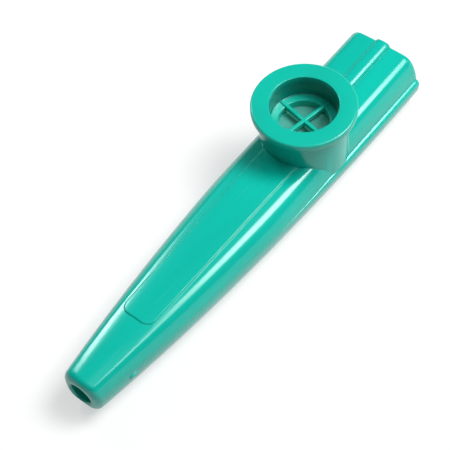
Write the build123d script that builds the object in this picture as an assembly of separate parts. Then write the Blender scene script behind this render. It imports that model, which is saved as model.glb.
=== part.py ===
from build123d import *
import math
import os

# Moulded plastic kazoo, in millimetres. +X runs to the wide, open mouth end and +Z is up.
# The origin is under the middle of the body, on the surface that the belly rests on.

# Body, shared by both shells
body_length = 119.5           # nose face to mouth rim
seam_height = 8.0             # plane where the two shells meet
wall = 1.6
station_count = 11            # sections in each lofted shell
max_half_width = 11.75        # lower shell, at the seam
widest_from_mouth = 19.5
nose_half_width = 5.2         # before the nose's edge is rounded
plan_power = 2.3              # how late the sides curve in towards the nose
seam_step_mouth = 0.7         # the lower rim stands this far outside the upper shell
seam_step_nose = 0.3
mouth_edge_radius = 0.3       # outer edge of the mouth rim

# Upper shell's section: a flat top between two elliptical shoulders
top_height_at_turret = 14.15
top_slope = 0.02              # rise per millimetre towards the mouth
top_flat_share = 0.5          # flat part of the half width, the rest is shoulder

# Lower shell's section: a flat belly between two elliptical bilges
belly_flat_share = 0.55
belly_straight_length = 45.0  # straight from the mouth, then it rises to the nose
nose_belly_rise = 2.2
belly_power = 1.75
belly_trim = 0.02             # depth taken off to leave a true flat to rest on
rim_edge_radius = 0.25

# Nose
nose_wall = 5.0
nose_bore_radius = 2.95
nose_bore_drop = 1.1          # centre of the bore, below the seam
nose_edge_radius = 1.3
nose_bore_chamfer = 0.25

# Locating tongue, which hangs under the upper shell inside the lower shell
tongue_depth = 0.8
tongue_root = 0.5             # reaches up into the upper shell's wall
tongue_clearance = 0.2
tongue_from_nose = 30.0
tongue_from_mouth = 3.0

# Turret collar, part of the upper shell
turret_from_mouth = 34.4
collar_height = 8.35          # above the body's top, at the turret
collar_bore_radius = 9.7
collar_wall_top = 1.15
collar_wall_seam = 1.6
collar_mouth_chamfer = 0.2
floor_rise = 0.65             # collar's inner floor, above the body's top
floor_thickness = 1.5
floor_width = 3.3             # collar bore to air port

# Turret cap, a push fit in the collar
flange_overhang = 2.15        # past the top of the collar's wall
flange_thickness = 2.0
flange_edge_radius = 0.35
cap_clearance = 0.05          # radial, tube in collar
tube_wall = 1.19
cup_edge_radius = 0.2
ledge_width = 2.16            # cup wall to window
ledge_thickness = 2.0
bar_width = 1.0
bar_height = 1.3
bar_rise = 0.3                # the bars stand above the ledge
bar_root = 0.5                # the bars' ends reach into the tube's wall
bar_angle = -11.0             # first bar, from +X about the turret's axis

# Film and the ring that it is bonded to
ring_height = 1.25
ring_width = 2.4
ring_clearance = 0.1          # radial, ring in collar
film_thickness = 0.1
film_gap = 0.05               # film to the cap's underside
film_margin = 0.3             # the film stops inside the ring's outer edge

# Raised thumb pad in front of the turret
pad_height = 0.35
pad_front_from_nose = 20.0
pad_side_margin = 0.4         # inside the flat's edge at the turret
pad_front_margin = 0.05       # inside the flat's edge at the pad's front
pad_corner_radius = 2.4
pad_edge_radius = 0.15

# Rounded rib behind the turret
rib_half_width = 2.1
rib_height = 1.2

# Places worked out from the sizes above
nose_x = -body_length / 2
mouth_x = body_length / 2
turret_x = mouth_x - turret_from_mouth
widest_x = mouth_x - widest_from_mouth
belly_straight_x = mouth_x - belly_straight_length
nose_bore_height = seam_height - nose_bore_drop
collar_top = top_height_at_turret + collar_height
floor_top = top_height_at_turret + floor_rise
air_port_radius = collar_bore_radius - floor_width
ring_radius = collar_bore_radius - ring_clearance
ring_top = floor_top + ring_height
film_top = ring_top + film_thickness
cap_bottom = film_top + film_gap
ledge_height = cap_bottom + ledge_thickness
flange_top = collar_top + flange_thickness
flange_radius = collar_bore_radius + collar_wall_top + flange_overhang
tube_radius = collar_bore_radius - cap_clearance
cup_radius = tube_radius - tube_wall
window_radius = cup_radius - ledge_width
top_tilt = math.degrees(math.atan(top_slope))
cut_margin = 2.0              # cutting tools run this far past what they cut
same_place = 0.01             # edges this near to a plane lie in it


def half_width(x):
    reach = abs(widest_x - x) / (widest_x - nose_x)
    return max_half_width - (max_half_width - nose_half_width) * reach ** plan_power


def upper_half_width(x):
    share = (x - nose_x) / body_length
    return half_width(x) - seam_step_nose - (seam_step_mouth - seam_step_nose) * share


def flat_half_width(x):
    return top_flat_share * upper_half_width(x)


def top_height(x):
    return top_height_at_turret + top_slope * (x - turret_x)


def belly_height(x):
    """Height of the belly's middle line before the resting flat is trimmed."""
    reach = max(0.0, (belly_straight_x - x) / (belly_straight_x - nose_x))
    return nose_belly_rise * reach ** belly_power - belly_trim


def section_plane(x):
    """Sketch plane across the body: its x is the body's Y and its y is Z."""
    return Plane(origin=(x, 0, 0), x_dir=(0, 1, 0), z_dir=(1, 0, 0))


def upper_section(x, inset, drop):
    """Flat top and two shoulders; the straight sides go on down by drop below the seam."""
    side = upper_half_width(x) - inset
    flat = top_flat_share * side
    rise = top_height(x) - inset - seam_height
    left = EllipticalCenterArc((-flat, seam_height), side - flat, rise, 90, arc_size=90)
    right = EllipticalCenterArc((flat, seam_height), side - flat, rise, 0, arc_size=90)
    across = Line(left @ 0, right @ 1)
    if drop == 0:
        base = Line(left @ 1, right @ 0)
    else:
        low = seam_height - drop
        base = Polyline(left @ 1, (-side, low), (side, low), right @ 0)
    return section_plane(x) * make_face([left, across, right, base])


def lower_section(x, inset):
    side = half_width(x) - inset
    flat = belly_flat_share * side
    depth = seam_height - belly_height(x) - inset
    left = EllipticalCenterArc((-flat, seam_height), side - flat, depth, 180, arc_size=90)
    right = EllipticalCenterArc((flat, seam_height), side - flat, depth, 270, arc_size=90)
    belly = Line(left @ 1, right @ 0)
    base = Line(right @ 1, left @ 0)
    return section_plane(x) * make_face([left, belly, right, base])


def tongue_section(x):
    """Slice across the body, from the tongue's lower edge up into the upper shell."""
    side = half_width(x) - wall - tongue_clearance
    centre = seam_height + (tongue_root - tongue_depth) / 2
    slice_height = tongue_root + tongue_depth
    return section_plane(x) * Pos(0, centre) * Rectangle(2 * side, slice_height)


def loft_along(section, first_x, last_x, *sizes):
    step = (last_x - first_x) / (station_count - 1)
    places = [first_x + step * index for index in range(station_count)]
    return loft([section(x, *sizes) for x in places])


def turret_cylinder(radius, low, high):
    return Pos(turret_x, 0, (low + high) / 2) * Cylinder(radius, high - low)


def nose_bore():
    """Hole along the nose, with a chamfered mouth."""
    length = nose_wall + cut_margin
    centre = Pos(nose_x + length / 2, 0, nose_bore_height)
    hole = centre * Rot(0, 90, 0) * Cylinder(nose_bore_radius, length)
    wide = nose_bore_radius + nose_bore_chamfer
    mouth = Pos(nose_x + nose_bore_chamfer / 2, 0, nose_bore_height) * Rot(0, 90, 0)
    return hole + mouth * Cone(wide, nose_bore_radius, nose_bore_chamfer)


def edges_at_x(shape, x):
    """Edges of the end face at x, without those in the seam plane."""
    ends = [edge for edge in shape.edges() if abs(edge.center().X - x) < same_place]
    return [edge for edge in ends if abs(edge.center().Z - seam_height) > same_place]


def long_seam_edges(shape):
    edges = [edge for edge in shape.edges() if abs(edge.center().Z - seam_height) < same_place]
    return [edge for edge in edges if edge.length > body_length / 2]


def top_plane(x):
    """Sketch plane on the sloping flat top, with its x along the slope."""
    slope = Plane(origin=(x, 0, top_height(x)), z_dir=(0, 0, 1))
    return slope * Rot(0, -top_tilt, 0)


def thumb_pad():
    front_x = nose_x + pad_front_from_nose
    length = turret_x - front_x
    front = flat_half_width(front_x) - pad_front_margin
    back = flat_half_width(turret_x) - pad_side_margin
    outline = Polyline((-length, -front), (0, -back), (0, back), (-length, front), close=True)
    sheet = make_face(outline)
    corners = sheet.vertices().sort_by(Axis.X)[:2]
    sheet = fillet(corners, pad_corner_radius)
    solid = extrude(sheet, pad_height) + extrude(sheet, -wall / 2)
    top_edges = solid.faces().sort_by(Axis.Z)[-1].edges()
    free_edges = [edge for edge in top_edges if edge.center().X < -same_place]
    return top_plane(turret_x) * fillet(free_edges, pad_edge_radius)


def top_rib():
    """Bar whose section is a flat circular segment with flared roots."""
    arc = ThreePointArc((-rib_half_width, 0), (0, rib_height), (rib_half_width, 0))
    depth = -wall / 2
    left = Line((-rib_half_width, depth), (-rib_half_width, 0))
    right = Line((rib_half_width, 0), (rib_half_width, depth))
    base = Line((rib_half_width, depth), (-rib_half_width, depth))
    face = section_plane(0) * make_face([left, arc, right, base])
    bar = top_plane(turret_x) * extrude(face, turret_from_mouth + cut_margin)
    beyond = Pos(mouth_x + cut_margin, 0, top_height(mouth_x))
    return bar - beyond * Box(2 * cut_margin, 4 * rib_half_width, 4 * rib_height)


def collar_tower():
    """Solid cone that the collar is cut from, with a chamfered bore mouth taken out."""
    low_radius = collar_bore_radius + collar_wall_seam
    high_radius = collar_bore_radius + collar_wall_top
    height = collar_top - seam_height
    tower = Pos(turret_x, 0, seam_height + height / 2) * Cone(low_radius, high_radius, height)
    wide = collar_bore_radius + collar_mouth_chamfer
    mouth = Pos(turret_x, 0, collar_top - collar_mouth_chamfer / 2)
    return tower - mouth * Cone(collar_bore_radius, wide, collar_mouth_chamfer)


def make_upper_shell():
    body = loft_along(upper_section, nose_x, mouth_x, 0.0, 0.0)
    body = fillet(edges_at_x(body, nose_x), nose_edge_radius)
    body = fillet(edges_at_x(body, mouth_x), mouth_edge_radius)
    body = body + thumb_pad() + top_rib() + collar_tower()
    tongue_first_x = nose_x + tongue_from_nose
    tongue_last_x = mouth_x - tongue_from_mouth
    body = body + loft_along(tongue_section, tongue_first_x, tongue_last_x)
    cavity_first_x = nose_x + nose_wall
    cavity_last_x = mouth_x + cut_margin
    cavity_drop = tongue_depth + cut_margin
    body = body - loft_along(upper_section, cavity_first_x, cavity_last_x, wall, cavity_drop)
    body = body - turret_cylinder(collar_bore_radius, seam_height, floor_top - floor_thickness)
    body = body - turret_cylinder(collar_bore_radius, floor_top, collar_top + cut_margin)
    body = body - turret_cylinder(air_port_radius, seam_height, collar_top)
    return body - nose_bore()


def make_lower_shell():
    body = loft_along(lower_section, nose_x, mouth_x, 0.0)
    body = fillet(edges_at_x(body, nose_x), nose_edge_radius)
    body = fillet(edges_at_x(body, mouth_x), mouth_edge_radius)
    body = fillet(long_seam_edges(body), rim_edge_radius)
    body = body - Pos(0, 0, -cut_margin / 2) * Box(2 * body_length, 4 * max_half_width, cut_margin)
    body = body - loft_along(lower_section, nose_x + nose_wall, mouth_x + cut_margin, wall)
    return body - nose_bore()


def make_turret_cap():
    flange = turret_cylinder(flange_radius, collar_top, flange_top)
    flange = fillet(flange.edges(), flange_edge_radius)
    cap = flange + turret_cylinder(tube_radius, cap_bottom, flange_top - flange_edge_radius)
    cap = cap - turret_cylinder(cup_radius, ledge_height, flange_top + cut_margin)
    cap = cap - turret_cylinder(window_radius, cap_bottom - cut_margin, flange_top)
    bar_top = ledge_height + bar_rise
    bar_centre = bar_top - bar_height / 2
    bar_length = 2 * (cup_radius + bar_root)
    for angle in (bar_angle, bar_angle + 90):
        cap = cap + Pos(turret_x, 0, bar_centre) * Rot(0, 0, angle) * Box(bar_length, bar_width, bar_height)
    face_edges = [edge for edge in cap.edges() if abs(edge.center().Z - flange_top) < same_place]
    mouth_edge = min(face_edges, key=lambda edge: edge.length)
    return fillet(mouth_edge, cup_edge_radius)


def make_membrane_ring():
    ring = turret_cylinder(ring_radius, floor_top, ring_top)
    return ring - turret_cylinder(ring_radius - ring_width, floor_top, ring_top)


def make_membrane():
    return turret_cylinder(ring_radius - film_margin, ring_top, film_top)


os.makedirs("parts", exist_ok=True)
pieces = {
    "upper_shell": make_upper_shell(),
    "lower_shell": make_lower_shell(),
    "turret_cap": make_turret_cap(),
    "membrane_ring": make_membrane_ring(),
    "membrane": make_membrane(),
}
for name, shape in pieces.items():
    export_step(shape, f"parts/{name}.step")
    print(name, round(shape.volume, 1), shape.is_valid, len(shape.solids()))
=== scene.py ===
import bmesh
import bpy
import math
from mathutils import Matrix, Vector


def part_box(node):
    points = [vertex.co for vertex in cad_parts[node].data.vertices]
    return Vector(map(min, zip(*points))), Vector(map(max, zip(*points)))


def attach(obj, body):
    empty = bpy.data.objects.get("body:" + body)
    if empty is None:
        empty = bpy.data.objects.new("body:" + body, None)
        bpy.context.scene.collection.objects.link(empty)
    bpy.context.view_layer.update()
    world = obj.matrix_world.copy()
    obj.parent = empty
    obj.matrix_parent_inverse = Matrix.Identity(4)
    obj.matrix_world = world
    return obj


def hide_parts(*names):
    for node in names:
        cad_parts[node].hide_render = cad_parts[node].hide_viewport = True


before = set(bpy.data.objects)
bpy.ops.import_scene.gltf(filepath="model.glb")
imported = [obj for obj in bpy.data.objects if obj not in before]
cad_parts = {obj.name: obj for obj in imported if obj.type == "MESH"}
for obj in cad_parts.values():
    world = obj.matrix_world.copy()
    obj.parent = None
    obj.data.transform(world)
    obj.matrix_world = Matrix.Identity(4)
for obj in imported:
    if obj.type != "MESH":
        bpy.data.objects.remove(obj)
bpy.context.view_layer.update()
mm = 0.001  # the pieces are shaped in millimetres, then scaled once into metres
weld = 1e-5  # vertices closer than this are one

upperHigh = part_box("upper_shell")[1]
lowerLow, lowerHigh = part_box("lower_shell")
capLow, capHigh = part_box("turret_cap")
ringLow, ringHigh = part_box("membrane_ring")
filmLow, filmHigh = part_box("membrane")

place = {
    "noseX": lowerLow.x / mm,
    "mouthX": lowerHigh.x / mm,
    "seamZ": lowerHigh.z / mm,
    "collarTop": upperHigh.z / mm,
    "turretX": (capLow.x + capHigh.x) / 2 / mm,
    "flangeTop": capHigh.z / mm,
    "capBottom": capLow.z / mm,
}
print("frame loaded, body", round(place["mouthX"] - place["noseX"], 1), "mm long")

body = {
    "maxHalfWidth": 11.75,
    "noseHalfWidth": 5.2,
    "widestFromMouth": 10.0,
    "planPower": 2.45,  # how late the sides curve in towards the nose
    "stepMouth": 1.1,  # lower rim stands this far outside the upper shell
    "stepNose": 0.03,
    "changeBeforeTurret": 30.0,  # where the section leaves its form at the nose
    "changeBeforeMouth": 20.0,  # and where it has reached its form at the mouth
    "wall": 1.6,
    "noseWall": 5.0,
    "noseEdge": 1.7,  # rounding round the nose
    "noseRows": 12,
    "mouthEdge": 0.3,
    "mouthRows": 5,
    "boreRadius": 2.95,
    "boreDrop": 1.1,  # the bore's axis runs this far under the seam
    "boreChamfer": 0.4,
    "boreSteps": 96,
    "cavityRows": 60,
    "cavityShift": 0.02,  # keeps the hollows' faces off the seam's plane
    "pastMouth": 2.0,  # the hollows run on this far past the mouth
    "toolPast": 1.0,  # other cutting tools reach this far past what they cut
}


def halfWidth(x):
    widestX = place["mouthX"] - body["widestFromMouth"]
    reach = abs(widestX - x) / (widestX - place["noseX"])
    return body["maxHalfWidth"] - (body["maxHalfWidth"] - body["noseHalfWidth"]) * reach ** body["planPower"]


def smoothStep(low, high, value):
    t = min(1.0, max(0.0, (value - low) / (high - low)))
    return t * t * (3 - 2 * t)


def rearShare(x):
    # 0 well in front of the turret, 1 near the mouth
    first = place["turretX"] - body["changeBeforeTurret"]
    return smoothStep(first, place["mouthX"] - body["changeBeforeMouth"], x)


def blend(table, noseKey, mouthKey, x):
    return table[noseKey] + (table[mouthKey] - table[noseKey]) * rearShare(x)


def seamStep(x):
    return blend(body, "stepNose", "stepMouth", x)


def upperHalfWidth(x):
    return halfWidth(x) - seamStep(x)


def roundingInset(distance, radius):
    # how far a rounded end has drawn in, at this distance from the end
    if distance >= radius:
        return 0.0
    return radius - math.sqrt(radius ** 2 - (radius - distance) ** 2)


def endInset(x):
    # how far the section has drawn in at x, for the rounding of both ends
    nose = roundingInset(x - place["noseX"], body["noseEdge"])
    return nose + roundingInset(place["mouthX"] - x, body["mouthEdge"])


def spread(first, last, count):
    # evenly spaced, without the last
    return [first + (last - first) * index / count for index in range(count)]


def roundedRows(end, radius, sign, count):
    # stations that crowd towards a rounded end; sign points from the end into the body
    angles = [math.pi / 2 * index / count for index in range(count)]
    return [end + sign * radius * (1 - math.cos(angle)) for angle in angles]


def bodyRows(middle):
    nose = roundedRows(place["noseX"], body["noseEdge"], 1, body["noseRows"])
    mouth = roundedRows(place["mouthX"], body["mouthEdge"], -1, body["mouthRows"])
    return nose + middle + mouth[::-1] + [place["mouthX"]]


def cavityRows():
    last = place["mouthX"] + body["pastMouth"]
    return spread(place["noseX"] + body["noseWall"], last, body["cavityRows"]) + [last]


def mirrored(half):
    # columns for the whole section from those of one half, which start at 0
    return [-value for value in half[:0:-1]] + half


def meshObject(name, bm):
    bmesh.ops.remove_doubles(bm, verts=bm.verts, dist=weld)
    bmesh.ops.recalc_face_normals(bm, faces=bm.faces)
    mesh = bpy.data.meshes.new(name)
    bm.to_mesh(mesh)
    bm.free()
    piece = bpy.data.objects.new(name, mesh)
    bpy.context.collection.objects.link(piece)
    return piece


def combine(piece, tool, operation):
    # one boolean, applied at once, and the tool is thrown away
    modifier = piece.modifiers.new(operation.lower(), "BOOLEAN")
    modifier.operation = operation
    modifier.solver = "EXACT"
    modifier.object = tool
    bpy.context.view_layer.update()
    shaped = bpy.data.meshes.new_from_object(piece.evaluated_get(bpy.context.evaluated_depsgraph_get()))
    piece.modifiers.clear()
    piece.data = shaped
    bpy.data.objects.remove(tool)


def finishPiece(piece, material, bodyName, node, sharpAngle=32):
    mesh = piece.data
    mesh.name = piece.name
    mesh.transform(Matrix.Scale(mm, 4))
    mesh.materials.clear()
    mesh.materials.append(material)
    mesh.shade_smooth()
    mesh.set_sharp_from_angle(angle=math.radians(sharpAngle))
    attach(piece, bodyName)
    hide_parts(node)
    print(piece.name, "made,", len(mesh.polygons), "faces")


def sectionGrid(name, rows, columns, shape):
    # a flat grid bent over the sections, then its ends and its flat side are closed
    bm = bmesh.new()
    rowCount = len(rows) - 1
    columnCount = len(columns) - 1
    bmesh.ops.create_grid(bm, x_segments=rowCount, y_segments=columnCount, size=1)
    for vert in bm.verts:
        row = rows[round((vert.co.x + 1) / 2 * rowCount)]
        column = columns[round((vert.co.y + 1) / 2 * columnCount)]
        vert.co = shape(row, column)
    bmesh.ops.remove_doubles(bm, verts=bm.verts, dist=weld)
    closeEnd(bm, rows[0])
    closeEnd(bm, rows[-1])
    bmesh.ops.holes_fill(bm, edges=[edge for edge in bm.edges if edge.is_boundary], sides=0)
    return meshObject(name, bm)


def closeEnd(bm, x):
    # the open end's arc gets a straight chord along the seam, then a face
    nearEnd = 1e-4
    rims = [edge for edge in bm.edges if edge.is_boundary]
    arc = [edge for edge in rims if all(abs(v.co.x - x) < nearEnd for v in edge.verts)]
    corners = [v for edge in arc for v in edge.verts if sum(v in other.verts for other in arc) == 1]
    chord = bm.edges.new(corners)
    bmesh.ops.edgeloop_fill(bm, edges=arc + [chord])


def roundBar(name, radiusLow, radiusHigh, low, high, sides=128):
    # upright cone or cylinder on the turret's axis
    bm = bmesh.new()
    matrix = Matrix.Translation((place["turretX"], 0, (low + high) / 2))
    bmesh.ops.create_cone(bm, cap_ends=True, segments=sides, radius1=radiusLow, radius2=radiusHigh,
                          depth=high - low, matrix=matrix)
    return meshObject(name, bm)


def noseBore(name):
    # hole along the nose with a chamfered mouth, turned about its own axis
    bm = bmesh.new()
    radius = body["boreRadius"]
    chamfer = body["boreChamfer"]
    height = place["seamZ"] - body["boreDrop"]
    front = place["noseX"]
    past = body["toolPast"]
    back = front + body["noseWall"] + past
    outline = [(front - past, 0), (front - past, radius + chamfer + past), (front + chamfer, radius),
               (back, radius), (back, 0)]
    verts = [bm.verts.new((x, 0, height + reach)) for x, reach in outline]
    edges = [bm.edges.new(pair) for pair in zip(verts, verts[1:])]
    bmesh.ops.spin(bm, geom=verts + edges, cent=(0, 0, height), axis=(1, 0, 0), angle=2 * math.pi,
                   steps=body["boreSteps"], use_merge=True)
    return meshObject(name, bm)


# Upper shell

upperShell = {
    "topAtTurret": 14.15,
    "topSlope": 0.013,
    "noseFall": 0.00085,  # how the top dips towards the nose
    "fallFromPad": 4.0,  # the dip starts this far behind the pad's front
    "crownNose": 0.42,  # how far the top sinks from its middle to where the shoulder starts
    "crownMouth": 0.15,
    "flatNose": 0.58,
    "flatMouth": 0.6,
    "outNose": 2.2,  # how late the shoulder leaves the flat top
    "outMouth": 2.5,
    "downNose": 1.25,  # how steeply the sides meet the upright foot
    "downMouth": 1.4,
    "footNose": 0.8,
    "footMouth": 0.3,
    "padHeight": 0.3,
    "padFrontFromNose": 20.0,
    "padHalfFront": 4.3,
    "padHalfTurret": 5.1,
    "padCorner": 2.4,
    "padEdge": 0.42,  # width over which the pad's edge rises
    "taperFromPad": 1.0,  # the edge line starts to narrow this far in front of the pad
    "taper": 0.09,  # by this much in each millimetre
    "taperLeast": 0.42,  # down to this share of the half width
    "padToRib": 6.0,  # the edge lines cross over within this of the turret's axis
    "ribHalf": 2.05,
    "ribHeight": 1.15,
    "ribPower": 2.6,
    "ribRoot": 0.25,
    "zoneInside": 2.9,  # columns are crowded this far inside the edge line
    "zoneAtRib": 0.55,  # behind the turret this share of it
    "zoneLeast": 0.35,  # but no nearer the middle than this share of the edge line
    "zoneOutside": 0.6,
    "reliefWithin": 2.5,  # pad and rib are raised in the columns up to this one
    "rowLead": 0.5,  # rows are crowded from this far in front of the pad to this far past its corners
    "rowTurret": 10.0,  # the stretch under the collar reaches this far to either side of its axis
    "cavityThinning": 3,  # the hollow keeps every third column
    "cavityWhole": 2.9,  # and every one beyond this, where the shoulder meets the foot
    "collarRadiusSeam": 11.3,
    "collarRadiusTop": 10.85,
    "collarBore": 9.7,
    "floorTop": 14.8,
    "floorUnder": 13.3,
    "airPort": 6.4,
}


def padFront():
    return place["noseX"] + upperShell["padFrontFromNose"]


def topHeight(x):
    dip = max(0.0, padFront() + upperShell["fallFromPad"] - x)
    straight = upperShell["topAtTurret"] + upperShell["topSlope"] * (x - place["turretX"])
    return straight - upperShell["noseFall"] * dip ** 2


def edgeLine(x):
    # half width of the pad in front of the turret and of the rib behind it
    frontX = padFront()
    share = (x - frontX) / (place["turretX"] - frontX)
    padHalf = upperShell["padHalfFront"] + (upperShell["padHalfTurret"] - upperShell["padHalfFront"]) * share
    ahead = frontX - upperShell["taperFromPad"] - x
    if ahead >= 0:
        padHalf = max(upperShell["taperLeast"] * upperHalfWidth(x), padHalf - upperShell["taper"] * ahead)
    change = upperShell["padToRib"]
    behind = smoothStep(place["turretX"] - change, place["turretX"] + change, x)
    return padHalf + (upperShell["ribHalf"] - padHalf) * behind


def padRelief(x, y):
    # the thumb pad, a step up with rounded front corners
    if x > place["turretX"]:
        return 0.0
    side = edgeLine(x) - abs(y)
    front = x - padFront()
    corner = upperShell["padCorner"]
    inside = min(side, front)
    if side < corner and front < corner:
        inside = corner - math.hypot(corner - side, corner - front)
    half = upperShell["padEdge"] / 2
    return upperShell["padHeight"] * smoothStep(-half, half, inside)


def ribRelief(x, y):
    # the rounded rib behind the turret
    if x < place["turretX"]:
        return 0.0
    reach = min(1.0, abs(y) / upperShell["ribHalf"])
    power = upperShell["ribPower"]
    crown = (1 - reach ** power) ** (1 / power)
    root = upperShell["ribRoot"]
    foot = 1 - smoothStep(-root, root, abs(y) - upperShell["ribHalf"])
    return upperShell["ribHeight"] * min(crown, foot)


def upperRows():
    lead = upperShell["rowLead"]
    hidden = upperShell["rowTurret"]
    # each stretch starts at a station and has so many rows
    stretches = [(place["noseX"] + body["noseEdge"], 36), (padFront() - lead, 42),
                 (padFront() + upperShell["padCorner"] + lead, 56), (place["turretX"] - hidden, 24),
                 (place["turretX"] + hidden, 30), (place["mouthX"] - body["mouthEdge"], 0)]
    middle = []
    for (first, count), (last, _) in zip(stretches, stretches[1:]):
        middle += spread(first, last, count)
    return bodyRows(middle)


def upperColumns():
    # signed places across the section: 0..1 middle, 1..2 edge zone, 2..3 shoulder, 4 the seam under the foot
    return mirrored(spread(0, 1, 10) + spread(1, 2, 60) + spread(2, 3, 36) + [3, 4])


def columnY(x, column, side):
    edge = edgeLine(x)
    inside = upperShell["zoneInside"] * (upperShell["zoneAtRib"] if x > place["turretX"] else 1)
    inner = max(upperShell["zoneLeast"] * edge, edge - inside)
    outer = edge + upperShell["zoneOutside"]
    value = abs(column)
    if value <= 1:
        y = inner * value
    elif value <= 2:
        y = inner + (outer - inner) * (value - 1)
    else:
        y = outer + (side - outer) * (1 - max(0.0, 3 - value) ** 2)
    return math.copysign(y, column)


def crownSag(x, y, flat):
    # the top is a shallow arch that runs on straight under the shoulders
    share = y / flat
    return blend(upperShell, "crownNose", "crownMouth", x) * (share ** 2 if share < 1 else 2 * share - 1)


def upperPoint(x, column, inset, relief):
    # the side rises from an upright foot through a shoulder into the arched top; relief adds pad and rib
    side = upperHalfWidth(x) - inset
    foot = blend(upperShell, "footNose", "footMouth", x)
    flat = blend(upperShell, "flatNose", "flatMouth", x) * side
    rise = topHeight(x) - inset - place["seamZ"] - foot - crownSag(x, side, flat)
    y = columnY(x, column, side)
    reach = min(1.0, max(0.0, (abs(y) - flat) / (side - flat)))
    out = blend(upperShell, "outNose", "outMouth", x)
    down = blend(upperShell, "downNose", "downMouth", x)
    z = place["seamZ"] + foot + rise * (1 - reach ** out) ** (1 / down)
    z += crownSag(x, side, flat) - crownSag(x, abs(y), flat)
    if abs(column) == 4:
        z = place["seamZ"]
    if relief and abs(column) < upperShell["reliefWithin"]:
        z += padRelief(x, y) + ribRelief(x, y)
    return Vector((x, y, z))


def outerUpper(x, column):
    return upperPoint(x, column, endInset(x), True)


def innerUpper(x, column):
    return upperPoint(x, column, body["wall"], False)


def innerUpperColumns():
    every = upperShell["cavityThinning"]
    whole = upperShell["cavityWhole"]
    numbered = enumerate(upperColumns())
    return [column for index, column in numbered if index % every == 0 or abs(column) > whole]


def makeUpperShell(material):
    shell = sectionGrid("upperShell", upperRows(), upperColumns(), outerUpper)
    seam = place["seamZ"]
    top = place["collarTop"]
    past = body["toolPast"]
    collar = roundBar("collar", upperShell["collarRadiusSeam"], upperShell["collarRadiusTop"], seam, top)
    combine(shell, collar, "UNION")
    cavity = sectionGrid("cavity", cavityRows(), innerUpperColumns(), innerUpper)
    cavity.data.transform(Matrix.Translation((0, 0, -body["cavityShift"])))
    combine(shell, cavity, "DIFFERENCE")
    bore = upperShell["collarBore"]
    combine(shell, roundBar("core", bore, bore, seam - past, upperShell["floorUnder"]), "DIFFERENCE")
    combine(shell, roundBar("collarBore", bore, bore, upperShell["floorTop"], top + past), "DIFFERENCE")
    port = upperShell["airPort"]
    combine(shell, roundBar("airPort", port, port, seam, top), "DIFFERENCE")
    combine(shell, noseBore("bore"), "DIFFERENCE")
    finishPiece(shell, material, "body", "upper_shell")


# Lower shell

lowerShell = {
    "flatShare": 0.45,
    "bilgePower": 2.35,
    "straightFromMouth": 45.0,
    "noseRise": 2.2,
    "bellyPower": 1.75,
    "bellyTrim": 0.02,
    "rollNose": 0.12,  # rounding of the rim
    "rollMouth": 1.25,
    "rollDrop": 0.1,  # at the mouth the ledge lies this far under the upper shell's edge
    "ledgeSlope": 20.0,
    "ledgeInside": 0.3,  # the ledge runs on this far under the upper shell
    "sharpRoll": 1e-3,  # as good as no rounding, for the hollow
    "wall": 2.0,
    "rows": 150,
    "nubFromNose": 11.0,  # stub left where the moulding was cut from its sprue
    "nubLength": 2.6,
    "nubWidth": 0.9,
    "nubSunk": 0.1,
    "nubUnderSeam": 0.6,
}


def bellyHeight(x):
    # the belly lies flat on the table behind and rises towards the nose
    straightX = place["mouthX"] - lowerShell["straightFromMouth"]
    reach = max(0.0, (straightX - x) / (straightX - place["noseX"]))
    return lowerShell["noseRise"] * reach ** lowerShell["bellyPower"] - lowerShell["bellyTrim"]


def lowerPoint(x, column, inset, roll, drop):
    # columns run 0..1 across the belly, 1..2 up the bilge and 2..3 over the rolled rim;
    # 4 is the ledge's inner edge and 5 the seam above it
    side = halfWidth(x) - inset
    flat = lowerShell["flatShare"] * side
    inner = side - seamStep(x) - lowerShell["ledgeInside"]
    slope = math.radians(lowerShell["ledgeSlope"])
    lastAngle = min(math.pi / 2 - slope, math.acos(min(1.0, max(0.0, (inner - side + roll) / roll))))
    ledgeOut = side - roll + roll * math.cos(lastAngle)
    ledgeRise = max(0.0, ledgeOut - side + seamStep(x)) * math.tan(slope)
    widestZ = place["seamZ"] - drop - ledgeRise - roll * math.sin(lastAngle)
    depth = widestZ - bellyHeight(x) - inset
    power = 2 / lowerShell["bilgePower"]
    value = abs(column)
    if value <= 1:
        y = flat * value
        z = widestZ - depth
    elif value <= 2:
        angle = math.pi / 2 * (2 - value)
        y = flat + (side - flat) * max(0.0, math.cos(angle)) ** power
        z = widestZ - depth * math.sin(angle) ** power
    else:
        angle = lastAngle * min(1.0, value - 2)
        y = side - roll + roll * math.cos(angle)
        z = widestZ + roll * math.sin(angle)
    if value >= 4:
        y = min(y, inner)
        z = min(place["seamZ"], z + (ledgeOut - y) * math.tan(slope))
    if value == 5:
        z = place["seamZ"]
    return Vector((x, math.copysign(y, column), max(0.0, z)))


def outerLower(x, column):
    roll = blend(lowerShell, "rollNose", "rollMouth", x)
    return lowerPoint(x, column, endInset(x), roll, lowerShell["rollDrop"] * rearShare(x))


def innerLower(x, column):
    # the hollow follows the belly and the bilge, then stands straight up to the seam
    point = lowerPoint(x, max(-2, min(2, column)), lowerShell["wall"], lowerShell["sharpRoll"], 0)
    if abs(column) > 2:
        point.z = place["seamZ"]
    return point


def lowerRows():
    last = place["mouthX"] - body["mouthEdge"]
    return bodyRows(spread(place["noseX"] + body["noseEdge"], last, lowerShell["rows"]))


def lowerColumns():
    return mirrored(spread(0, 1, 4) + spread(1, 2, 28) + spread(2, 3, 12) + [3, 4, 5])


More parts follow.
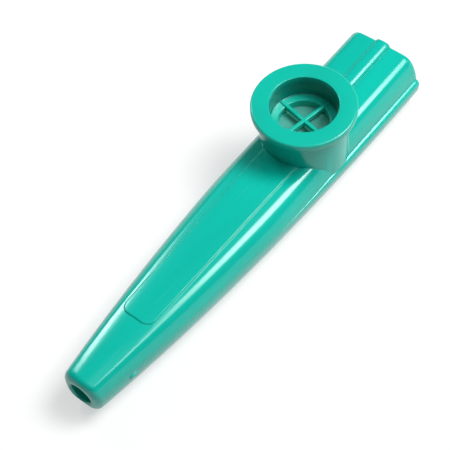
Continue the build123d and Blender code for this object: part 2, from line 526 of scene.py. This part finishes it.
def gateNub(name):
    bm = bmesh.new()
    x = place["noseX"] + lowerShell["nubFromNose"]
    y = lowerShell["nubSunk"] - halfWidth(x)
    width = lowerShell["nubWidth"]
    bmesh.ops.create_icosphere(bm, subdivisions=3, radius=0.5)
    bmesh.ops.scale(bm, vec=(lowerShell["nubLength"], width, width), verts=bm.verts)
    bmesh.ops.translate(bm, vec=(x, y, place["seamZ"] - lowerShell["nubUnderSeam"]), verts=bm.verts)
    return meshObject(name, bm)


def makeLowerShell(material):
    shell = sectionGrid("lowerShell", lowerRows(), lowerColumns(), outerLower)
    columns = [column for column in lowerColumns() if abs(column) <= 2 or abs(column) == 3]
    cavity = sectionGrid("cavity", cavityRows(), columns, innerLower)
    cavity.data.transform(Matrix.Translation((0, 0, body["cavityShift"])))
    combine(shell, cavity, "DIFFERENCE")
    combine(shell, noseBore("bore"), "DIFFERENCE")
    combine(shell, gateNub("nub"), "UNION")
    finishPiece(shell, material, "body", "lower_shell")


# Turret cap

turretCap = {
    "flangeRadius": 13.0,
    "flangeThickness": 2.0,
    "flangeEdge": 0.5,
    "tubeRadius": 9.65,
    "cupRadius": 8.46,
    "cupEdge": 0.2,
    "windowRadius": 6.3,
    "ledgeThickness": 2.0,
    "ledgeEdge": 0.25,
    "barWidth": 1.0,
    "barHeight": 1.3,
    "barRise": 0.3,  # the bars stand this far above the ledge
    "barRoot": 0.5,  # and run this far into the cup's wall
    "barEdge": 0.3,
    "barAngle": -11.0,
    "steps": 160,
}


def spunPiece(name, outline, bevels, steps):
    # closed outline of (radius, height) turned about the turret's axis; bevels round its corners
    bm = bmesh.new()
    verts = [bm.verts.new((place["turretX"] + radius, 0, height)) for radius, height in outline]
    edges = [bm.edges.new(pair) for pair in zip(verts, verts[1:] + verts[:1])]
    bmesh.ops.spin(bm, geom=verts + edges, cent=(place["turretX"], 0, 0), axis=(0, 0, 1), angle=2 * math.pi,
                   steps=steps, use_merge=True)
    bmesh.ops.remove_doubles(bm, verts=bm.verts, dist=weld)
    for (radius, height), width in bevels.items():
        ring = [edge for edge in bm.edges if all(onRing(vert, radius, height) for vert in edge.verts)]
        bmesh.ops.bevel(bm, geom=ring, offset=width, segments=5, profile=0.5, affect="EDGES", material=-1)
    return meshObject(name, bm)


def onRing(vert, radius, height):
    near = 1e-3
    reach = math.hypot(vert.co.x - place["turretX"], vert.co.y)
    return abs(reach - radius) < near and abs(vert.co.z - height) < near


def crossBar(name, angle):
    # a bar across the cup with its two upper edges rounded
    bm = bmesh.new()
    length = 2 * (turretCap["cupRadius"] + turretCap["barRoot"])
    bmesh.ops.create_cube(bm, size=1)
    bmesh.ops.scale(bm, vec=(length, turretCap["barWidth"], turretCap["barHeight"]), verts=bm.verts)
    upper = [edge for edge in bm.edges if all(vert.co.z > 0 for vert in edge.verts)]
    along = [edge for edge in upper if edge.calc_length() > turretCap["barWidth"] * 1.5]
    bmesh.ops.bevel(bm, geom=along, offset=turretCap["barEdge"], segments=4, profile=0.5, affect="EDGES",
                    material=-1)
    ledgeTop = place["capBottom"] + turretCap["ledgeThickness"]
    middle = ledgeTop + turretCap["barRise"] - turretCap["barHeight"] / 2
    bmesh.ops.rotate(bm, matrix=Matrix.Rotation(math.radians(angle), 3, "Z"), verts=bm.verts)
    bmesh.ops.translate(bm, vec=(place["turretX"], 0, middle), verts=bm.verts)
    return meshObject(name, bm)


def makeTurretCap(material):
    low = place["capBottom"]
    top = place["flangeTop"]
    under = top - turretCap["flangeThickness"]
    ledge = low + turretCap["ledgeThickness"]
    flange = turretCap["flangeRadius"]
    tube = turretCap["tubeRadius"]
    cup = turretCap["cupRadius"]
    window = turretCap["windowRadius"]
    outline = [(window, low), (tube, low), (tube, under), (flange, under), (flange, top), (cup, top),
               (cup, ledge), (window, ledge)]
    bevels = {(flange, under): turretCap["flangeEdge"], (flange, top): turretCap["flangeEdge"],
              (cup, top): turretCap["cupEdge"], (cup, ledge): turretCap["ledgeEdge"],
              (window, ledge): turretCap["ledgeEdge"], (tube, low): turretCap["cupEdge"]}
    cap = spunPiece("turretCap", outline, bevels, turretCap["steps"])
    for turn in (0, 90):
        combine(cap, crossBar("bar", turretCap["barAngle"] + turn), "UNION")
    finishPiece(cap, material, "cap", "turret_cap")


# Film and its ring

filmRing = {
    "outer": 9.6,
    "inner": 7.2,
    "edge": 0.15,
    "steps": 128,
}
film = {
    "radius": 9.3,
    "fill": 0.4,  # share of the space left for it that the film takes up
    "ripple": 0.03,
    "rings": 24,
    "steps": 96,
    "sharpAngle": 60,
    "colour": (0.16, 0.72, 0.60, 1),
    "cloudScale": 260.0,
    "roughness": 0.16,
    "cloudRoughness": 0.15,
    "alpha": 0.18,
    "cloudAlpha": 0.25,
    "creaseScale": 420.0,
    "creaseStrength": 0.35,
    "creaseDistance": 0.0003,
    "ior": 1.5,
}


def makeMembraneRing(material):
    low = ringLow.z / mm
    high = ringHigh.z / mm
    outer = filmRing["outer"]
    inner = filmRing["inner"]
    edge = filmRing["edge"]
    outline = [(inner, low), (outer, low), (outer, high), (inner, high)]
    bevels = {(outer, low): edge, (inner, high): edge, (inner, low): edge}
    ring = spunPiece("membraneRing", outline, bevels, filmRing["steps"])
    finishPiece(ring, material, "film", "membrane_ring")


def makeMembrane(material):
    # taut disc, closed on both sides, that slackens a little between its rim and its middle
    bm = bmesh.new()
    thickness = film["fill"] * (filmHigh.z - filmLow.z) / mm
    axisX = place["turretX"]
    verts = [bm.verts.new((axisX + film["radius"] * step / film["rings"], 0, 0))
             for step in range(film["rings"] + 1)]
    edges = [bm.edges.new(pair) for pair in zip(verts, verts[1:])]
    bmesh.ops.spin(bm, geom=verts + edges, cent=(axisX, 0, 0), axis=(0, 0, 1), angle=2 * math.pi,
                   steps=film["steps"], use_merge=True)
    bmesh.ops.remove_doubles(bm, verts=bm.verts, dist=weld)
    bmesh.ops.recalc_face_normals(bm, faces=bm.faces)
    bmesh.ops.solidify(bm, geom=bm.faces, thickness=thickness)
    for vert in bm.verts:
        reach = math.hypot(vert.co.x - axisX, vert.co.y) / film["radius"]
        turn = math.atan2(vert.co.y, vert.co.x - axisX)
        # two sets of ripples, five and nine round the disc, that wind opposite ways
        wave = math.sin(5 * turn + 3 * reach) + 0.6 * math.sin(9 * turn - 7 * reach)
        vert.co.z += film["ripple"] * wave * reach ** 2 * (1 - reach)
    middle = sum(vert.co.z for vert in bm.verts) / len(bm.verts)
    bmesh.ops.translate(bm, vec=(0, 0, (filmLow.z + filmHigh.z) / 2 / mm - middle), verts=bm.verts)
    piece = meshObject("membrane", bm)
    finishPiece(piece, material, "film", "membrane", film["sharpAngle"])


# Materials

plastic = {
    "flowStretch": (0.25, 1.0, 1.0),  # flow marks run along the part
    "flowScale": 70.0,
    "flowTone": (0.93, 1.0, 1.06),
    "flowRoughness": 0.07,
    "skinScale": 380.0,
    "skinHeight": 0.5,
    "grainScale": 2600.0,
    "grainHeight": 0.2,
    "hairTurn": (0.2, 0.1, 0.35),
    "hairScale": (60.0, 2200.0, 900.0),
    "scuffFrom": 0.68,  # scuffs show where the hair noise is above this
    "scuffFull": 0.8,
    "scuffColour": 0.015,  # how much a scuff shows in the colour, the roughness and the surface
    "scuffRoughness": 0.05,
    "scuffHeight": 0.04,
    "speckScale": 420.0,
    "speckCore": 0.05,  # a speck is full up to this distance from its middle
    "speckEdge": 0.12,
    "dustColour": 0.006,
    "dustRoughness": 0.03,
    "wornColour": (0.7, 0.9, 0.87, 1),
    "bumpStrength": 0.12,
    "bumpDistance": 0.0001,
    "ior": 1.57,
    "specularTint": (0.75, 1.0, 1.0, 1),
    # painted shade: the cup's wall under the flange is darkened in the colour, standing in for the shade
    # inside the cup
    "paintedShadeTone": 0.25,
    "cupBand": 0.3,  # millimetres to either side of the cup's wall that count as the wall
    "paintedShadeFade": 2.2,  # millimetres under the flange's top over which the painted shade on the wall comes in
}


class Wire:
    # one output socket, with arithmetic that adds Math nodes
    def __init__(self, tree, socket=None):
        self.tree = tree
        self.socket = socket

    def add(self, kind, settings=None, sockets=None, output=0):
        node = self.tree.nodes.new(kind)
        for name, value in (settings or {}).items():
            if name == "stops":
                setStops(node.color_ramp, value)
            else:
                setattr(node, name, value)
        for name, value in (sockets or {}).items():
            if isinstance(value, Wire):
                self.tree.links.new(value.socket, node.inputs[name])
            else:
                node.inputs[name].default_value = value
        return Wire(self.tree, node.outputs[output])

    def math(self, operation, first, second):
        return self.add("ShaderNodeMath", {"operation": operation}, {0: first, 1: second})

    def __add__(self, other):
        return self.math("ADD", self, other)

    def __radd__(self, other):
        return self.math("ADD", other, self)

    def __sub__(self, other):
        return self.math("SUBTRACT", self, other)

    def __rsub__(self, other):
        return self.math("SUBTRACT", other, self)

    def __mul__(self, other):
        return self.math("MULTIPLY", self, other)


def setStops(ramp, stops):
    while len(ramp.elements) < len(stops):
        ramp.elements.new(0.5)
    for element, (position, colour) in zip(ramp.elements, stops):
        element.position = position
        element.color = colour


def newMaterial(name):
    material = bpy.data.materials.new(name)
    material.use_nodes = True
    tree = material.node_tree
    tree.nodes.clear()
    return material, Wire(tree)


def finishMaterial(start, shader):
    output = start.tree.nodes.new("ShaderNodeOutputMaterial")
    start.tree.links.new(shader.socket, output.inputs["Surface"])


def shade(colour, factor):
    return tuple(part * factor for part in colour) + (1,)


def noise(start, where, scale, detail, distortion=0.0):
    return start.add("ShaderNodeTexNoise", {}, {
        "Vector": where, "Scale": scale, "Detail": detail, "Distortion": distortion})


def fade(start, value, low, high, atLow, atHigh):
    # smooth change from one value to another
    return start.add("ShaderNodeMapRange", {"interpolation_type": "SMOOTHSTEP"}, {
        "Value": value, "From Min": low, "From Max": high, "To Min": atLow, "To Max": atHigh})


def tint(start, factor, colour, other):
    return start.add("ShaderNodeMix", {"data_type": "RGBA"}, {0: factor, 6: colour, 7: other}, output=2)


def cupShadeMask(start, where):
    # where shade is painted: 1 on the cup's wall below the flange, 0 everywhere else
    axis = (place["turretX"] * mm, 0.0, 0.0)
    offset = start.add("ShaderNodeVectorMath", {"operation": "SUBTRACT"}, {0: where, 1: axis})
    level = start.add("ShaderNodeVectorMath", {"operation": "MULTIPLY"}, {0: offset, 1: (1.0, 1.0, 0.0)})
    reach = start.add("ShaderNodeVectorMath", {"operation": "LENGTH"}, {0: level}, output="Value")
    height = start.add("ShaderNodeSeparateXYZ", {}, {"Vector": where}, output="Z")
    wall = turretCap["cupRadius"] * mm
    band = plastic["cupBand"] * mm
    within = start.math("LESS_THAN", reach, wall + band)
    beyond = start.math("GREATER_THAN", reach, wall - band)
    top = place["flangeTop"] * mm
    return within * beyond * fade(start, height, top - plastic["paintedShadeFade"] * mm, top, 1.0, 0.0)


def plasticMaterial(name, colour, roughness, paintedCupShade=0.0):
    # moulded polystyrene: flow marks, faint scuffs along the part and a fine skin; the cup's wall can get
    # painted shade, darker under the flange
    material, start = newMaterial(name)
    where = start.add("ShaderNodeTexCoord", output="Object")
    stretched = start.add("ShaderNodeVectorMath", {"operation": "MULTIPLY"}, {
        0: where, 1: plastic["flowStretch"]})
    flow = noise(start, stretched, plastic["flowScale"], detail=4.0, distortion=0.8)
    skin = noise(start, where, plastic["skinScale"], detail=3.0)
    grain = noise(start, where, plastic["grainScale"], detail=2.0)
    turned = start.add("ShaderNodeMapping", {}, {
        "Vector": where, "Rotation": plastic["hairTurn"], "Scale": plastic["hairScale"]})
    hair = noise(start, turned, scale=1.0, detail=1.0)
    scuff = fade(start, hair, plastic["scuffFrom"], plastic["scuffFull"], 0.0, 1.0)
    speck = start.add("ShaderNodeTexVoronoi", {}, {"Vector": where, "Scale": plastic["speckScale"]})
    dust = fade(start, speck, plastic["speckCore"], plastic["speckEdge"], 1.0, 0.0)
    thin, plain, thick = (shade(colour, factor) for factor in plastic["flowTone"])
    stops = [(0.3, thin), (0.5, plain), (0.7, thick)]
    tone = start.add("ShaderNodeValToRGB", {"stops": stops}, {"Fac": flow})
    wear = scuff * plastic["scuffColour"] + dust * plastic["dustColour"]
    worn = tint(start, wear, tone, plastic["wornColour"])
    # painted shade: the cup's wall under the flange is mixed towards a dark tone of the colour
    withPaintedShade = tint(start, cupShadeMask(start, where) * paintedCupShade, worn, shade(colour, plastic["paintedShadeTone"]))
    dull = (1 - flow) * plastic["flowRoughness"] + scuff * plastic["scuffRoughness"]
    dull = dull + (dust * plastic["dustRoughness"] + roughness)
    height = skin * plastic["skinHeight"] + grain * plastic["grainHeight"] - scuff * plastic["scuffHeight"]
    bump = start.add("ShaderNodeBump", {}, {
        "Height": height, "Strength": plastic["bumpStrength"], "Distance": plastic["bumpDistance"]})
    shader = start.add("ShaderNodeBsdfPrincipled", {}, {
        "Base Color": withPaintedShade, "Roughness": dull, "Normal": bump, "IOR": plastic["ior"],
        "Specular Tint": plastic["specularTint"]})
    finishMaterial(start, shader)
    return material


def filmMaterial():
    # thin and cloudy, so the seat under it shows through more in some places than in others
    material, start = newMaterial("film")
    where = start.add("ShaderNodeTexCoord", output="Object")
    cloud = noise(start, where, film["cloudScale"], detail=4.0)
    crease = noise(start, where, film["creaseScale"], detail=2.0, distortion=1.5)
    bump = start.add("ShaderNodeBump", {}, {
        "Height": crease, "Strength": film["creaseStrength"], "Distance": film["creaseDistance"]})
    shader = start.add("ShaderNodeBsdfPrincipled", {}, {
        "Base Color": film["colour"], "Roughness": film["roughness"] + cloud * film["cloudRoughness"],
        "Alpha": film["alpha"] + cloud * film["cloudAlpha"], "Normal": bump, "IOR": film["ior"]})
    finishMaterial(start, shader)
    return material


# Stage: a dish that serves as floor and backdrop, soft boxes, a camera and a dim sky; in metres

floorDish = {
    "flatRadius": 2.4,
    "sweepRadius": 0.25,
    "sweepRows": 12,
    "wallHeight": 0.15,
    "steps": 96,
    "paper": (0.55, 0.55, 0.55, 1),  # as the floor lights the object
    "white": (0.95, 0.95, 0.95, 1),  # as it looks, mixed with a glow that grows to plain white far out
    "nearGlow": 0.55,
    "nearReach": 0.08,
    "farReach": 0.5,
}
# each soft box: its centre, its width along the body, its height and its radiance
softBoxes = {
    "keyBox": ((0.290, -0.215, 0.550), 0.32, 0.46, 17.5),
    "leftBox": ((0.13, 0.464, 0.447), 0.16, 0.11, 23.0),
    "noseBox": ((0.07, -0.30, 0.560), 0.14, 0.22, 7.5),
    "fillBox": ((-0.10, -0.08, 0.6), 0.42, 0.42, 1.0),
}
panels = {
    "count": 4,
    "shrink": 0.7,  # each panel loses this share of the box's size, divided by the count
    "gap": 0.001,
}
view = {
    "place": (-0.13819, -0.12014, 0.27318),
    "azimuth": 42.399,  # degrees, from the x axis round to where it looks
    "dip": 55.793,
    "roll": -5.374,
    "lens": 106.6,
    "sensor": 36.0,
}
sky = {
    "colour": (0.9, 0.97, 1.0, 1),
    "strength": 0.1,
}


def floorMaterial():
    # white, with the object's shadow, to the camera and in reflections; to the light it is plain paper
    material, start = newMaterial("paleFloor")
    seen = start.add("ShaderNodeLightPath", output="Is Camera Ray")
    glossy = start.add("ShaderNodeLightPath", output="Is Glossy Ray")
    through = start.add("ShaderNodeLightPath", output="Is Transmission Ray")
    paper = start.add("ShaderNodeBsdfDiffuse", {}, {"Color": floorDish["paper"]})
    white = start.add("ShaderNodeBsdfDiffuse", {}, {"Color": floorDish["white"]})
    glow = start.add("ShaderNodeEmission", {}, {"Color": (1, 1, 1, 1), "Strength": 1.0})
    where = start.add("ShaderNodeTexCoord", output="Object")
    away = start.add("ShaderNodeVectorMath", {"operation": "LENGTH"}, {0: where}, output="Value")
    share = fade(start, away, floorDish["nearReach"], floorDish["farReach"], floorDish["nearGlow"], 1.0)
    shown = start.add("ShaderNodeMixShader", {}, {0: share, 1: white, 2: glow})
    shader = start.add("ShaderNodeMixShader", {}, {0: seen + glossy + through, 1: paper, 2: shown})
    finishMaterial(start, shader)
    return material


def makeFloor():
    bm = bmesh.new()
    flat = floorDish["flatRadius"]
    sweep = floorDish["sweepRadius"]
    rows = floorDish["sweepRows"]
    rim = [Vector((0, 0, 0)), Vector((flat, 0, 0))]
    for row in range(1, rows + 1):
        angle = math.pi / 2 * row / rows
        rim.append(Vector((flat + sweep * math.sin(angle), 0, sweep * (1 - math.cos(angle)))))
    rim.append(Vector((flat + sweep, 0, sweep + floorDish["wallHeight"])))
    verts = [bm.verts.new(point) for point in rim]
    edges = [bm.edges.new(pair) for pair in zip(verts, verts[1:])]
    bmesh.ops.spin(bm, geom=verts + edges, cent=(0, 0, 0), axis=(0, 0, 1), angle=2 * math.pi,
                   steps=floorDish["steps"], use_merge=True)
    floor = meshObject("floor", bm)
    floor.data.materials.append(floorMaterial())
    floor.data.shade_smooth()


def softBox(name, centre, width, height, radiance):
    # faces the object; nested panels make it bright in the middle and soft at the edge
    away = Vector(centre).normalized()
    along = (Vector((1, 0, 0)) - away * away.x).normalized()
    facing = Matrix((along, away.cross(along), away)).transposed().to_4x4()
    count = panels["count"]
    for index in range(count):
        share = 1 - panels["shrink"] * index / count
        data = bpy.data.lights.new(name, "AREA")
        data.shape = "RECTANGLE"
        data.size = width * share
        data.size_y = height * share
        data.energy = radiance / count * math.pi * data.size * data.size_y
        lamp = bpy.data.objects.new(name, data)
        lamp.matrix_world = Matrix.Translation(Vector(centre) - away * panels["gap"] * index) @ facing
        bpy.context.collection.objects.link(lamp)


def makeCamera():
    # stands over the nose end, to the right of the body, and looks down along it
    data = bpy.data.cameras.new("camera")
    data.sensor_width = view["sensor"]
    data.lens = view["lens"]
    camera = bpy.data.objects.new("camera", data)
    azimuth = math.radians(view["azimuth"])
    dip = math.radians(view["dip"])
    roll = math.radians(view["roll"])
    forward = Vector((math.cos(azimuth) * math.cos(dip), math.sin(azimuth) * math.cos(dip), -math.sin(dip)))
    level = forward.cross(Vector((0, 0, 1))).normalized()
    right = level * math.cos(roll) + level.cross(forward) * math.sin(roll)
    turn = Matrix((right, right.cross(forward), -forward)).transposed().to_4x4()
    camera.matrix_world = Matrix.Translation(view["place"]) @ turn
    bpy.context.collection.objects.link(camera)
    bpy.context.scene.camera = camera


def makeWorld():
    world = bpy.data.worlds.new("studio")
    world.use_nodes = True
    background = world.node_tree.nodes["Background"]
    background.inputs["Color"].default_value = sky["colour"]
    background.inputs["Strength"].default_value = sky["strength"]
    bpy.context.scene.world = world


shellPlastic = plasticMaterial("shellPlastic", colour=(0.002, 0.465, 0.367), roughness=0.13)
# the cap's cup wall gets painted shade at this strength
capPlastic = plasticMaterial("capPlastic", colour=(0.002, 0.45, 0.342), roughness=0.2, paintedCupShade=0.7)
ringPlastic = plasticMaterial("ringPlastic", colour=(0.01, 0.36, 0.29), roughness=0.4)
makeUpperShell(shellPlastic)
makeLowerShell(shellPlastic)
makeTurretCap(capPlastic)
makeMembraneRing(ringPlastic)
makeMembrane(filmMaterial())
makeFloor()
makeCamera()
makeWorld()
for boxName, settings in softBoxes.items():
    softBox(boxName, *settings)
bpy.context.scene.view_settings.view_transform = "Standard"
print("floor, camera, sky and", len(softBoxes), "soft boxes set")
